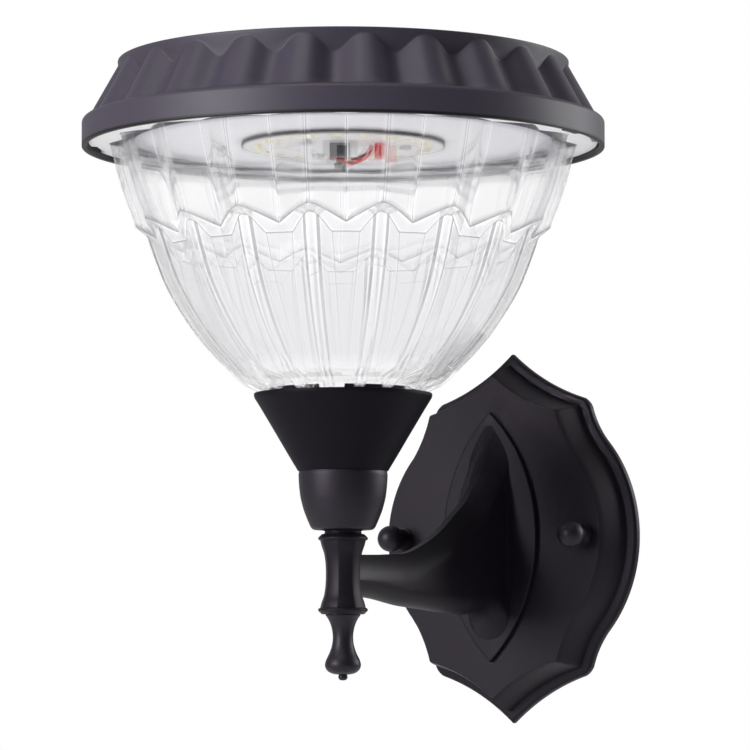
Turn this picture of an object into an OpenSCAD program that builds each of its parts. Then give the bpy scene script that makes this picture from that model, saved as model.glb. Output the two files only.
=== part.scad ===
// Solar wall light: a fluted solar head on a pleated clear bowl, held by a cast arm.
// Sizes are in mm. The wall is the plane y = 0, the light stands out to -Y and Z is up.
// The origin is the middle of the mounting face on the wall.

/* [Piece to draw] */
// One piece, or all of them

/* [Lamp head] */
// Outer radius of the rim band round the head
head_r = 100; // [95:1:105]
// Wall of the skirt below the crown
skirt_wall = 2; // [1.6:0.1:2.2]
// Number of flutes round the crown
flute_count = 24; // [18:6:30]
// Depth of one flute
flute_depth = 5.1; // [4.1:0.2:5.3]
// Travel of the switch button
button_travel = 1.5; // [1:0.1:1.6]

/* [Lens] */
// Number of pleats round the bowl
pleat_count = 18; // [16:2:22]
// Depth of one pleat at the flange
pleat_depth = 6.1; // [5.1:0.1:6.3]
// Wall of the bowl
lens_wall = 2.2; // [1.8:0.1:2.4]
// Depth of a flat panel below the ribs beside it
panel_depth = 1.7; // [1:0.1:2.2]

/* [Arm and plate] */
// Distance from the wall to the lamp's axis
arm_reach = 118; // [114:1:130]
// Half width of the arm where it meets the foot
arm_root_w = 9.5; // [8.5:0.5:10.5]
// Flat faces of the waist, measured from its axis
waist_r = 6.25; // [6.1:0.05:7]
// Wall of the hollow back plate
plate_wall = 2.2; // [1.8:0.1:2.6]
// Distance between the two ball nuts
nut_spacing = 86.8; // [83.8:1:89.8]
// Radius of a ball nut
ball_r = 5.3; // [4.8:0.1:5.8]

/* [Wall fixing] */
// Width of a slot for a wall screw
slot_w = 5; // [4.5:0.5:6]
// Length of a slot from end to end
slot_length = 16; // [12:1:18]
// Distance between the middles of the two slots
slot_spacing = 50; // [46:1:54]

/* [Hidden] */
$fn = 64;
charcoal = [0.2, 0.19, 0.22];
steel = [0.7, 0.7, 0.72];

// Gap between parts that screw or slide together, and between parts that move
fit = 0.1;
clear = 0.3;

// Heights in the head
skirt_z = 145.4;
seat_z = 152.7;
ledge_z = 156.5;
recess_z = 176.2;
top_z = 178.7;
dish_z = 148;
board_z = 146.4;
skirt_in_r = head_r - skirt_wall;
crest_r = head_r - 2.6;
lip_r = head_r * 0.8173;
lip_top_r = lip_r + 4.77;
panel_r = head_r * 0.75;
panel_h = 1.2;
panel_cover_h = 0.8;
dish_r = head_r * 0.8;
dish_wall = 1.8;
board_r = head_r * 0.39;
board_screw_r = board_r - 15;
flange_r = head_r - 3;
flange_top = 149.3;
flange_low = 147.4;
seal_w = 3.4;
seal_top = 150.6;
screw_ring_r = dish_r + 4;
screw_angle = -3.3;
switch_x = -1.2;
switch_w = 7.8;
switch_low = 140.9;
board_lift = 153;
cell_r = 9.2;
cell_z = dish_z + 3.3 + cell_r + clear;

// The head turns by this angle on the lens before its lugs reach the notches
unlock_angle = 20;
half_pleat = 180 / pleat_count;
// Turn of the first crease about the lamp's axis. The two notches sit on the creases after it and opposite
pleat_turn = 7.1;
notch_angle = pleat_turn + 2 * half_pleat;
notch_r = flange_r - 2.2;
lug_half = half_pleat * 0.32;

// Thread of the tube on the lamp's axis and its parts
tube_r = 5;
tube_bore_r = 3.5;
column_top = -2;
column_low = -32.4;
cup_rim_z = 22;
holder_floor = 25;
shelf_z = 45;
gasket_h = 0.8;
neck_r = 30;
neck_wall = 1.7;
lens_base = 53.9;
neck_in_r = neck_r - neck_wall;
cup_r = 17;
nut_washer_h = 1.2;
nut_h = 5;

// Back plate: its side arc, its shoulder, its tip and its depths
plate_side_r = nut_spacing / 2 + 13.8;
plate_side_x = 2;
shoulder_x = plate_side_r * 0.635;
shoulder_z = 54.2;
tip_z = 74.4;
field_y = 17.2;
foot_y = 19.3;
stud_r = 2;
stud_washer_h = 1;
ball_y = field_y + 9.1;
arm_screw_z = 20;

// Moves its children to the lamp's axis
module at_lamp() {
  translate([0, -arm_reach, 0])
    children();
}

// Repeats its children round the axis
module around(count, start = 0) {
  for (i = [0 : count - 1])
    rotate(start + i * 360 / count)
      children();
}

// Ring about the axis, from one height to another
module ring(outer_r, inner_r, low, high) {
  translate([0, 0, low])
    difference() {
      cylinder(r = outer_r, h = high - low);
      translate([0, 0, -1])
        cylinder(r = inner_r, h = high - low + 2);
    }
}

// Solid of revolution from a profile of [radius, height]
module turned(profile) {
  rotate_extrude()
    polygon(profile);
}

// Cylinder that runs along -Y from a start depth
module rod_y(r, from_y, to_y) {
  translate([0, -from_y, 0])
    rotate([90, 0, 0])
      cylinder(r = r, h = to_y - from_y);
}

// Two triangles for each cell between neighbouring rings of m points
function cells(i, k, m) = [
  for (j = [0 : m - 1], half = [0, 1])
    let (a = i * m + j, b = i * m + (j + 1) % m, c = k * m + (j + 1) % m, d = k * m + j)
      half == 0 ? [a, b, c] : [a, c, d]
];

// Wall section swept round the axis: the last ring joins the first again
module closed_sweep(rings) {
  n = len(rings);
  m = len(rings[0]);
  polyhedron(
    points = [for (ring = rings) for (p = ring) p],
    faces = [for (i = [0 : n - 1]) for (f = cells(i, (i + 1) % n, m)) f]
  );
}

// Rings joined in order, with a flat cap on the first and on the last
module loft(rings) {
  n = len(rings);
  m = len(rings[0]);
  polyhedron(
    points = [for (ring = rings) for (p = ring) p],
    faces = concat(
      [[for (j = [m - 1 : -1 : 0]) j]],
      [for (i = [0 : n - 2]) for (f = cells(i, i + 1, m)) f],
      [[for (j = [0 : m - 1]) (n - 1) * m + j]]
    )
  );
}

// Point at a radius and height, turned by an angle
function polar(line, a) = [line[0] * cos(a), line[0] * sin(a), line[1]];

// Point on a shallow arc between two points, bent to the left of p to q by the sagitta
function arc_point(p, q, sagitta, t) =
  let (d = (q - p) / norm(q - p), s = 4 * sagitta * t * (1 - t))
    p + (q - p) * t + s * [-d[1], d[0]];

// Quarter of the plate's outline, set in by d: side arc, shoulder, then the long hollow arc to the tip
function plate_quarter(d) =
  let (
    side_r = plate_side_r - 0.86 * d,
    side = [for (a = [0 : 7 : 42]) [plate_side_x + side_r * cos(a), side_r * sin(a)]],
    shoulder = [shoulder_x - 0.62 * d, shoulder_z - 0.47 * d],
    tip = [0, tip_z - d],
    soft = 2.4 * max(0.15, 1 - d / 8),
    to_side = (side[6] - shoulder) / norm(side[6] - shoulder),
    to_tip = (tip - shoulder) / norm(tip - shoulder),
    low = shoulder + soft * to_side,
    high = shoulder + soft * to_tip
  )
  concat(
    side,
    [for (t = [1 / 3, 2 / 3]) arc_point(side[6], low, 0.8, t)],
    [low, (low + high + 2 * shoulder) / 4, high],
    [for (t = [1 / 6 : 1 / 6 : 0.9]) arc_point(high, tip, 2.1, t)],
    [tip]
  );

// Whole outline at depth y, counted the same way round for every inset
function plate_ring(d, y) =
  let (q = plate_quarter(d), n = len(q))
  concat(
    [for (i = [0 : n - 1]) [q[i][0], -y, q[i][1]]],
    [for (i = [n - 2 : -1 : 0]) [-q[i][0], -y, q[i][1]]],
    [for (i = [1 : n - 1]) [-q[i][0], -y, -q[i][1]]],
    [for (i = [n - 2 : -1 : 1]) [q[i][0], -y, -q[i][1]]]
  );

// Strip behind the plate with a slot for each wall screw and a hole for each stud
module crossbar() {
  bar_length = nut_spacing + 12;
  color(steel)
    difference() {
      translate([-bar_length / 2, -2, -9])
        cube([bar_length, 2, 18]);
      for (x = [-slot_spacing / 2, slot_spacing / 2])
        for (e = [-1, 1])
          translate([x + e * (slot_length - slot_w) / 2, 1, 0])
            rod_y(slot_w / 2, 0, 4);
      for (x = [-slot_spacing / 2, slot_spacing / 2])
        translate([x - (slot_length - slot_w) / 2, -3, -slot_w / 2])
          cube([slot_length - slot_w, 4, slot_w]);
      for (x = [-nut_spacing / 2, nut_spacing / 2])
        translate([x, 1, 0])
          rod_y(stud_r + fit, 0, 4);
    }
}

module crossbar_studs() {
  color(steel)
    for (x = [-nut_spacing / 2, nut_spacing / 2])
      translate([x, 0, 0])
        rod_y(stud_r, 0.3, ball_y - 1);
}

// Hollow plate whose stepped face rises to a flat field
module back_plate() {
  w = plate_wall;
  color(charcoal)
    difference() {
      loft([
        plate_ring(9.6, field_y),
        plate_ring(8.4, field_y - 2.1),
        plate_ring(6.6, 10.5),
        plate_ring(5.2, 6),
        plate_ring(4.4, 3.5),
        plate_ring(0.9, 3.4),
        plate_ring(0, 2.4),
        plate_ring(0, 0),
        plate_ring(w, 0),
        plate_ring(w + 0.4, 3.5 - w),
        plate_ring(4.6 + w, 3.6 - w),
        plate_ring(5.2 + w, 5.6),
        plate_ring(6.8 + w, 10),
        plate_ring(9 + w, field_y - w)
      ]);
      for (x = [-nut_spacing / 2, nut_spacing / 2])
        translate([x, 0, 0])
          rod_y(stud_r + clear, field_y - w - 1, field_y + 1);
      for (z = [-arm_screw_z, arm_screw_z])
        translate([0, 0, z])
          rod_y(stud_r + clear, field_y - w - 1, field_y + 1);
    }
}

module stud_washers() {
  color(charcoal)
    for (x = [-nut_spacing / 2, nut_spacing / 2])
      translate([x, 0, 0])
        difference() {
          rod_y(4.6, field_y, field_y + stud_washer_h);
          rod_y(stud_r + clear, field_y - 1, field_y + stud_washer_h + 1);
        }
}

// Ball nuts with a neck that stands on the washer and a blind threaded hole
module ball_nuts() {
  color(charcoal)
    for (x = [-nut_spacing / 2, nut_spacing / 2])
      translate([x, 0, 0])
        difference() {
          union() {
            rod_y(4, field_y + stud_washer_h, ball_y - 2);
            translate([0, -ball_y, 0])
              sphere(r = ball_r);
          }
          rod_y(stud_r + fit, field_y, ball_y);
        }
}

// The arm's profile against its distance from the wall: top edge, bottom edge, half width, arch height
arm_top = [
  [17.2, 50.6], [20.9, 40.4], [26.2, 31.2], [32.8, 19.1], [45.8, 7.6], [58.6, -0.8], [68, -4.9],
  [77.4, -7.9], [89.7, -8.9], [107, -9.5], [140, -9.6]
];
arm_bottom = [
  [17.2, -41.9], [18.8, -41.7], [22, -36], [26, -32.6], [41.2, -31.5], [51.6, -30.9], [68.6, -29.6],
  [81.4, -28.7], [101.9, -26], [140, -26]
];
function arm_half(y) = lookup(y, [[17.2, arm_root_w], [45, 7.2], [80, 6.3], [140, 6.1]]);
function arm_arch(y) = lookup(y, [[17.2, 17], [32.8, 14], [60, 11.5], [107, 9.8], [140, 9.8]]);

// Half section of the arm from the flat strip on top down to the keel
function arm_half_section(y) =
  let (w = arm_half(y), top = lookup(y, arm_top), low = lookup(y, arm_bottom), strip = 1.4)
  concat(
    [for (t = [0 : 0.25 : 1]) [strip + (w - strip) * (1 - pow(1 - t, 1.7)), top - arm_arch(y) * t]],
    [for (a = [0 : 22.5 : 67.5]) [w * cos(a), low + w - w * sin(a)]]
  );

function arm_section(y) =
  let (h = arm_half_section(y), n = len(h))
  concat(
    [for (i = [0 : n - 1]) [h[i][0], -y, h[i][1]]],
    [[0, -y, lookup(y, arm_bottom)]],
    [for (i = [n - 1 : -1 : 0]) [-h[i][0], -y, h[i][1]]]
  );

// Pointed oval foot where two discs overlap
module arm_foot() {
  half_w = 22.3;
  disc_r = 67.1;
  intersection() {
    translate([disc_r - half_w, 0, 0])
      rod_y(disc_r, field_y, foot_y);
    translate([half_w - disc_r, 0, 0])
      rod_y(disc_r, field_y, foot_y);
  }
}

// Faceted waist with eight sides, between two round collars
module arm_column() {
  edge = 1 / cos(22.5);
  half = [[13.6, 8.4], [10.7, 7.85], [8.4, 6.97], [5.2, 6.45], [1.8, waist_r]];
  middle = (column_top + column_low) / 2;
  translate([0, 0, middle])
    rotate(22.5)
      rotate_extrude($fn = 8)
        polygon(concat(
          [[0, 13.6]],
          [for (p = half) [max(p[1], waist_r) * edge, p[0]]],
          [for (i = [4 : -1 : 0]) [max(half[i][1], waist_r) * edge, -half[i][0]]],
          [[0, -13.6]]
        ));
  for (s = [-1, 1])
    translate([0, 0, middle])
      turned([
        [0, 12.7 * s], [8.2, 12.7 * s], [9.2, 12.9 * s], [9.6, 13.5 * s],
        [9.2, 14.2 * s], [8.65, 14.6 * s], [8.2, 15.2 * s], [0, 15.2 * s]
      ]);
}

module arm() {
  last = arm_reach - 2;
  stations = [field_y + 0.4, foot_y, 20.9, 23.5, 26.2, 29.5, 32.8, 39, 45.8, 52, 58.6, 68, 77.4, 89.7, 101.9, last];
  color(charcoal)
    difference() {
      union() {
        loft([for (y = stations) arm_section(y)]);
        arm_foot();
        at_lamp()
          arm_column();
      }
      at_lamp()
        translate([0, 0, column_low - 1])
          cylinder(r = tube_r + fit, h = column_top - column_low + 2);
      for (z = [-arm_screw_z, arm_screw_z])
        translate([0, 0, z])
          rod_y(stud_r + fit, field_y - 1, 26);
    }
}

// Screws from behind the plate into the arm
module arm_screws() {
  back = field_y - plate_wall;
  color(steel)
    for (z = [-arm_screw_z, arm_screw_z])
      translate([0, 0, z])
        difference() {
          union() {
            rod_y(stud_r, back - 1, 25);
            rod_y(3.8, back - 2.6, back);
          }
          for (a = [0, 90])
            translate([0, -(back - 2.6), 0])
              rotate([0, a, 0])
                cube([0.8, 2.4, 4.4], center = true);
        }
}

// Hollow threaded tube that clamps the cup and the holder on the arm
module stem_tube() {
  color(steel)
    at_lamp()
      ring(tube_r, tube_bore_r, column_low + 0.4, 34);
}

// Turned drop below the arm, with a stud that screws into the tube
module finial() {
  color(charcoal)
    at_lamp() {
      turned([
        [0, -57.4], [1.3, -57.1], [1.9, -56.2], [1.6, -55.4], [3.4, -55.1], [5.2, -54.4], [6.4, -53.3], [6.8, -52],
        [6.8, -51], [6.35, -49.8], [5.22, -47.5], [4.44, -45.2], [4, -43], [3.89, -40.7], [4.14, -38.4],
        [4.7, -36.1], [5.67, -33.9], [6.6, -32.9], [6.6, column_low], [0, column_low]
      ]);
      translate([0, 0, column_low - 1])
        cylinder(r = tube_bore_r - fit, h = 10);
    }
}

module cup() {
  color(charcoal)
    at_lamp()
      turned([
        [tube_r + fit, column_top], [7.4, column_top], [6.8, -1.4], [6.8, -0.8], [8, -0.4], [11.6, -0.3],
        [12.4, 0.8], [13.2, 2.6], [14.15, 4.9], [15, 7.1], [cup_r - 1.4, 9.4], [cup_r - 0.8, 11.7],
        [cup_r - 0.2, 16.3], [cup_r, cup_rim_z - 1.1], [cup_r - 0.3, cup_rim_z],
        [cup_r - 2.4, cup_rim_z], [cup_r - 2.4, 16.3], [cup_r - 3.4, 9.4], [11.6, 3.6],
        [9.6, 1.8], [tube_r + fit, 1.8]
      ]);
}

// Radius on the cone: it widens from the cup's rim to the lens neck
function cone(r) = cup_r + (r - 17) * (neck_r + 4 - cup_r) / 16.6;

// Cone that carries the lens: floor for the nut, shelf for the gasket and a notched collar inside
module cone_holder() {
  collar_r = neck_in_r - clear;
  collar_in_r = collar_r - 1.8;
  color(charcoal)
    at_lamp()
      difference() {
        turned([
          [tube_r + fit, cup_rim_z], [cone(17.4), cup_rim_z], [cone(17.8), cup_rim_z + 1.1],
          [cone(20.5), 27.7], [cone(25.8), 36.9], [cone(31.1), shelf_z + 1], [neck_r + 3.9, shelf_z + 4.8],
          [neck_r + 4, shelf_z + 6.6], [neck_r + 2, shelf_z + 6.6], [neck_r + 2, shelf_z + 5.2],
          [neck_r + fit, shelf_z + 2], [neck_r + fit, shelf_z], [collar_r, shelf_z],
          [collar_r, shelf_z + 8.4], [collar_in_r, shelf_z + 8.4], [collar_in_r, shelf_z - 2],
          [collar_in_r + 0.8, shelf_z - 2], [cone(23.9), 38], [cone(18.4), 28.6],
          [cone(16.2), holder_floor], [tube_r + fit, holder_floor]
        ]);
        around(4, -63.5)
          translate([collar_in_r - 2, -4.4, shelf_z + 3.5])
            cube([collar_r - collar_in_r + 4, 8.8, 6]);
      }
}

module lens_gasket() {
  color([0.1, 0.1, 0.1])
    at_lamp()
      ring(neck_r, neck_in_r, shelf_z, shelf_z + gasket_h);
}

module tube_washer() {
  color(steel)
    at_lamp()
      ring(9.5, tube_r + fit, holder_floor, holder_floor + nut_washer_h);
}

module tube_nut() {
  low = holder_floor + nut_washer_h;
  color(steel)
    at_lamp()
      translate([0, 0, low])
        difference() {
          cylinder(r = 8.1, h = nut_h, $fn = 6);
          translate([0, 0, -1])
            cylinder(r = tube_r + fit, h = nut_h + 2);
        }
}

// The bowl's ridges and ribs: radius against height. Both are fitted between the neck and the flange
function spread(r) = neck_r + 5 + (r - 34.6) * (head_r - 15.4 - neck_r) / 55;
function up(z) = shelf_z + (z - 45) * (flange_low - shelf_z) / 102.4;
ridge_line = [
  for (p = [[109.5, 77.6], [115.1, 79.6], [119.7, 81.3], [128.9, 84.3], [138.2, 87], [147.4, 89.3]])
    [up(p[0]), spread(p[1])]
];
rib_line = [
  for (p = [
    [53, 34.6], [55.2, 38], [59.8, 42.9], [64.4, 47.6], [73.6, 55.7], [82.8, 62.1], [92, 67.4],
    [101.2, 71.2], [112.3, 75.1]
  ])
    [up(p[0]), spread(p[1])]
];

// Upper tier: a folded cone. The share s is 0 on a ridge and 1 in the crease between two ridges
function tier_r(z, s) = lookup(z, ridge_line) - s * (pleat_depth + (flange_low - z) * 0.05);

// Lower tier: flat panels between raised ribs. The share s is 0 on a rib and 1 in the middle of a panel
function bowl_r(z, s) =
  let (rib = lookup(z, rib_line), sink = panel_depth * lookup(z, [[up(53), 0.2], [up(64), 0.5], [up(104), 1]]))
    s < 0.2 ? rib : (rib - sink) * (s > 0.9 ? cos(half_pleat * 4 / 9) : 1);

// Outer line from the flange down to the foot of the bowl
function lens_outer(s, rim_r) =
  let (
    low_z = up(s < 0.2 ? 112.3 : 105.8),
    tier = [for (z = [145.2, 137, 128]) [tier_r(up(z), s), up(z)]],
    bowl = [for (z = [101, 92, 83, 74, 66, 60, 56, 54.1]) [bowl_r(up(z), s), up(z)]]
  )
  concat(
    [[rim_r, flange_top], [rim_r, flange_low], [tier_r(flange_low - 0.4, s) + 1.6, flange_low]],
    tier,
    [[spread(79.4) - 8 * s, up(115.3) - 6.1 * s], [bowl_r(low_z, s), low_z]],
    bowl
  );

// Point one wall inside the line, square to it at point k
function inside(line, k) =
  let (d = line[k + 1] - line[k - 1], u = d / norm(d))
    line[k] + lens_wall * [u[1], -u[0]];

// Closed wall section at one share
function lens_section(s, rim_r) =
  let (line = lens_outer(s, rim_r), foot = shelf_z + gasket_h)
  concat(
    line,
    [[neck_r, lens_base], [neck_r, foot], [neck_in_r, foot], [neck_in_r, lens_base + 1.8]],
    [for (k = [14, 13, 11, 9, 7, 6, 5]) inside(line, k)],
    [[tier_r(flange_low - 0.4, s) - lens_wall, flange_top]]
  );

// Clear bowl. The flange has two notches for the head's lugs
module lens() {
  offsets = [-7.4 / 9, -4 / 9, 0, 4 / 9, 7.4 / 9, 1];
  sections = [
    for (i = [0 : pleat_count - 1], o = offsets)
      let (notched = abs(o) < 0.5 && i % (pleat_count / 2) == 1)
        [pleat_turn + (2 * i + o) * half_pleat, lens_section(1 - abs(o), notched ? notch_r : flange_r)]
  ];
  color([0.9, 0.95, 1, 0.35])
    at_lamp()
      closed_sweep([for (k = [0 : len(sections[0][1]) - 1]) [for (c = sections) polar(c[1][k], c[0])]]);
}

// Soft ring on the lens flange, just under the head's cover
module head_seal() {
  color([0.85, 0.85, 0.83])
    at_lamp()
      ring(notch_r - 0.4, notch_r - 0.4 - seal_w, flange_top, seal_top);
}

// Crown: the fluted cone and the flared lip are one surface, the wider of the two at each height
module crown() {
  steps = 6;
  count = flute_count * steps;
  rise = top_z - ledge_z;
  lip_slope = 0.2206;
  close_in = (crest_r - lip_r) / (0.904 * rise);
  // Outer and inner line at one angle; w is 0 on a crest and 1 in a valley
  function line(w) =
    let (
      border = (crest_r - lip_r - flute_depth * w) / close_in,
      inner_top = recess_z - 2.2
    )
    [
      [panel_r + 2, recess_z], [panel_r + 2, top_z], [lip_top_r - 0.8, top_z],
      [lip_top_r - 0.2, top_z - 0.25], [lip_top_r, top_z - 0.8],
      [lip_r + lip_slope * border, ledge_z + border], [crest_r - flute_depth * w, ledge_z],
      [head_r - 2.2, ledge_z], [head_r - 0.5, ledge_z - 0.7], [head_r, ledge_z - 1.5],
      [head_r, skirt_z], [skirt_in_r, skirt_z], [skirt_in_r, seat_z], [head_r - 7.5, seat_z],
      [panel_r + 3, inner_top]
    ];
  columns = [
    for (j = [0 : count - 1])
      let (a = screw_angle + j * 360 / count)
        [a, line((1 - cos(360 * j / steps)) / 2)]
  ];
  lug_low = flange_low - clear - 1.5;
  color(charcoal)
    at_lamp()
      difference() {
        union() {
          loft([for (k = [0 : len(columns[0][1]) - 1]) [for (c = columns) polar(c[1][k], c[0])]]);
          around(2, notch_angle - unlock_angle)
            rotate(-lug_half)
              translate([0, 0, lug_low])
                rotate_extrude(angle = 2 * lug_half)
                  translate([notch_r + 1, 0])
                    square([skirt_in_r + 0.8 - notch_r - 1, 1.5]);
          around(6, screw_angle)
            translate([screw_ring_r, 0, seat_z])
              cylinder(r = 3.5, h = 11);
        }
        around(6, screw_angle)
          translate([screw_ring_r, 0, seat_z - 1])
            cylinder(r = 1.5 + fit, h = 9.5);
      }
}

module solar_panel() {
  color([0.06, 0.08, 0.18])
    at_lamp()
      translate([0, 0, recess_z])
        cylinder(r = panel_r, h = panel_h);
}

module panel_cover() {
  color([0.7, 0.8, 0.9, 0.35])
    at_lamp()
      translate([0, 0, recess_z + panel_h])
        cylinder(r = panel_r, h = panel_cover_h);
}

module panel_gasket() {
  color([0.08, 0.08, 0.08])
    at_lamp()
      ring(panel_r + 1.6, panel_r + fit, recess_z, recess_z + panel_h + panel_cover_h + 0.2);
}

// Dish that closes the head from below, with bosses for the boards
module under_cover() {
  color([0.9, 0.9, 0.88])
    at_lamp()
      difference() {
        union() {
          turned([
            [0, dish_z], [dish_r, dish_z], [dish_r, seat_z - dish_wall],
            [skirt_in_r - 1.5, seat_z - dish_wall], [skirt_in_r - 1.5, seat_z], [dish_r - 2, seat_z],
            [dish_r - 2, dish_z + dish_wall], [0, dish_z + dish_wall]
          ]);
          around(3, 30)
            translate([board_screw_r, 0, dish_z + 1])
              cylinder(r = 3, h = 5);
          for (x = [-9, 9], y = [-16, 16])
            translate([x - 40, y, dish_z + 1])
              cylinder(r = 2.6, h = board_lift - dish_z - 1);
        }
        around(6, screw_angle)
          translate([screw_ring_r, 0, seat_z - dish_wall])
            screw_space(3 + fit, 1.5 + fit);
        around(3, 30)
          translate([board_screw_r, 0, dish_z - 1])
            cylinder(r = 1.2 + fit, h = 6);
        for (x = [-9, 9], y = [-16, 16])
          translate([x - 40, y, dish_z + 2.8])
            cylinder(r = 1.2 + fit, h = 4);
      }
}

// Countersunk space or screw body, open end down
module screw_space(head, shank) {
  turned([[0, -0.01], [head, -0.01], [shank, head - shank], [shank, 4], [0, 4]]);
}

module cover_screws() {
  color(steel)
    at_lamp()
      around(6, screw_angle)
        translate([screw_ring_r, 0, seat_z - dish_wall])
          difference() {
            turned([[0, 0.05], [2.9, 0.05], [1.5, 1.5], [1.5, 9], [0, 9]]);
            cross_slot(3.2);
          }
}

// Cross slot for a driver, centred on the origin
module cross_slot(length) {
  for (a = [0, 90])
    rotate(a)
      cube([length, 0.7, 1.4], center = true);
}

module led_board() {
  color([0.93, 0.93, 0.9])
    at_lamp()
      difference() {
        translate([0, 0, board_z])
          cylinder(r = board_r, h = dish_z - board_z);
        around(3, 30)
          translate([board_screw_r, 0, board_z - 1])
            cylinder(r = 1.2 + fit, h = 4);
      }
}

module leds() {
  color([0.95, 0.85, 0.4])
    at_lamp()
      around(20, -4.2)
        translate([board_r - 6, 0, board_z - 0.8])
          union() {
            translate([-1.4, -1.75, 0.2])
              cube([2.8, 3.5, 0.6]);
            translate([-1, -1.3, 0])
              cube([2, 2.6, 0.4]);
          }
}

// Small pan head screws: three hold the lamp board, four hold the control board
module board_screws() {
  color(steel)
    at_lamp() {
      around(3, 30)
        translate([board_screw_r, 0, board_z])
          pan_screw(5.5, -1);
      for (x = [-9, 9], y = [-16, 16])
        translate([x - 40, y, board_lift + 1.6])
          pan_screw(3.6, 1);
    }
}

// Pan head screw whose head points up for side 1 and down for side -1
module pan_screw(length, side) {
  scale([1, 1, side])
    difference() {
      union() {
        cylinder(r = 2.3, h = 1.4);
        translate([0, 0, -length])
          cylinder(r = 1.2, h = length + 0.5);
      }
      translate([0, 0, 1.4])
        cross_slot(3);
    }
}

// Round cell that lies along Y in its holder
module battery() {
  color([0.2, 0.45, 0.65])
    at_lamp()
      translate([38, 32.5, cell_z])
        rotate([90, 0, 0])
          union() {
            cylinder(r = cell_r, h = 64);
            cylinder(r = 3, h = 65.2);
          }
}

// Open cradle with end walls
module battery_holder() {
  color([0.1, 0.1, 0.1])
    at_lamp()
      translate([38, 0, dish_z + dish_wall])
        difference() {
          translate([-11, -36, 0])
            cube([22, 71.5, 15]);
          translate([0, 34, 1.5 + cell_r + clear])
            rotate([90, 0, 0])
              cylinder(r = cell_r + clear, h = 68);
          translate([-cell_r - clear, -34, 1.5 + cell_r + clear])
            cube([2 * (cell_r + clear), 68, 12]);
        }
}

// Board with a chip and two plugs, on four bosses of the dish
module control_board() {
  color([0.1, 0.4, 0.2])
    at_lamp()
      difference() {
        translate([-40, 0, board_lift]) {
          translate([-12.5, -20, 0])
            cube([25, 40, 1.6]);
          translate([-4, -3, 1.6])
            cube([8, 6, 1.6]);
          for (y = [-11, 7])
            translate([-3.5, y, 1.6])
              cube([7, 5, 5]);
        }
        for (x = [-9, 9], y = [-16, 16])
          translate([x - 40, y, board_lift - 1])
            cylinder(r = 1.2 + fit, h = 4);
      }
}

// Moves its children in front of the axis and turns them to face the room
module at_switch() {
  at_lamp()
    rotate(35.8)
      translate([0, -8, 0])
        children();
}

// Square body of the switch, below the lamp board. The button's collar runs in its chamber
module switch_body() {
  color([0.08, 0.08, 0.08])
    at_switch()
      translate([switch_x, 0, switch_low])
        difference() {
          translate([-switch_w / 2, -switch_w / 2, 0])
            cube([switch_w, switch_w, board_z - switch_low]);
          translate([0, 0, 0.8])
            cylinder(r = 2.7, h = button_travel + 1.1);
          translate([0, 0, -1])
            cylinder(r = 1.5 + clear, h = 3);
        }
}

// Button with a round cap and a collar that keeps it in the body
module switch_button() {
  color([0.15, 0.15, 0.15])
    at_switch()
      translate([switch_x, 0, switch_low]) {
        translate([0, 0, -4])
          cylinder(r = 2.2, h = 2);
        translate([0, 0, -2.5])
          cylinder(r = 1.5, h = 4);
        translate([0, 0, 0.8 + clear])
          cylinder(r = 2.4, h = 0.5);
      }
}

// Wire bent to an arc in an upright plane: middle [side, height], bend radius and angles
module wire(middle, bend_r, start, end, depth) {
  at_switch()
    translate([middle[0], depth, middle[1]])
      rotate([90, 0, 0])
        rotate(start)
          rotate_extrude(angle = end - start)
            translate([bend_r, 0])
              circle(r = 0.65);
}

module red_wire() {
  color([0.75, 0.1, 0.08])
    wire([3.2, 146.5], 7.8, 236, 350, -3.2);
}

module black_wire() {
  color([0.06, 0.06, 0.06])
    wire([4, 147.9], 7, 261, 345, 1.6);
}

// Two pole plug on the lamp board
module wire_plug() {
  color([0.75, 0.1, 0.08])
    at_switch()
      translate([12, -2.5, switch_low])
        cube([3.8, 5, board_z - switch_low]);
}

crossbar();
crossbar_studs();
back_plate();
stud_washers();
ball_nuts();
arm();
arm_screws();
stem_tube();
finial();
cup();
cone_holder();
lens_gasket();
lens();
tube_nut();
tube_washer();
head_seal();
crown();
solar_panel();
panel_cover();
panel_gasket();
under_cover();
cover_screws();
led_board();
leds();
board_screws();
battery();
battery_holder();
control_board();
switch_body();
switch_button();
red_wire();
black_wire();
wire_plug();
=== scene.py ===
import bpy
import numpy as np
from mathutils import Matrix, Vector


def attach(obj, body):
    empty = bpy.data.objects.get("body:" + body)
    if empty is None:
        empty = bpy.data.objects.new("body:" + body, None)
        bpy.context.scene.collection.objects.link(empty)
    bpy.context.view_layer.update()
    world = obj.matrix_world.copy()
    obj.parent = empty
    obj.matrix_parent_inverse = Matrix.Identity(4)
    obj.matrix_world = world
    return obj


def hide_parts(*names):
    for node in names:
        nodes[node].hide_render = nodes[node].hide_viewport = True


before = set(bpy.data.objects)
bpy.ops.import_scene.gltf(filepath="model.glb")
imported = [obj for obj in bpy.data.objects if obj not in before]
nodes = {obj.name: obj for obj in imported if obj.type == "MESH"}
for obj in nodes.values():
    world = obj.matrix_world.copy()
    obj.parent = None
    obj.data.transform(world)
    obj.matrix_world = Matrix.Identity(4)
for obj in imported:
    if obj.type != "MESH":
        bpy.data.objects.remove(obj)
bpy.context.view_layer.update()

# Shapes are worked out in mm, in the CAD model's own frame, and go into the meshes in metres.
# The wall is y = 0, the light stands out to -Y, and the lamp's axis is upright at y = -118.
mm = 0.001
lampY = -118.0
print("frame loaded:", len(nodes), "nodes")


# Shared tools for lines, skins and pieces

def parabola(start, corner, end, steps):
    # (1 - t)^2 start + 2 t (1 - t) corner + t^2 end
    t = np.linspace(0, 1, steps + 1)[:, None]
    return (1 - t) ** 2 * start + 2 * t * (1 - t) * corner + t ** 2 * end


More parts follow.
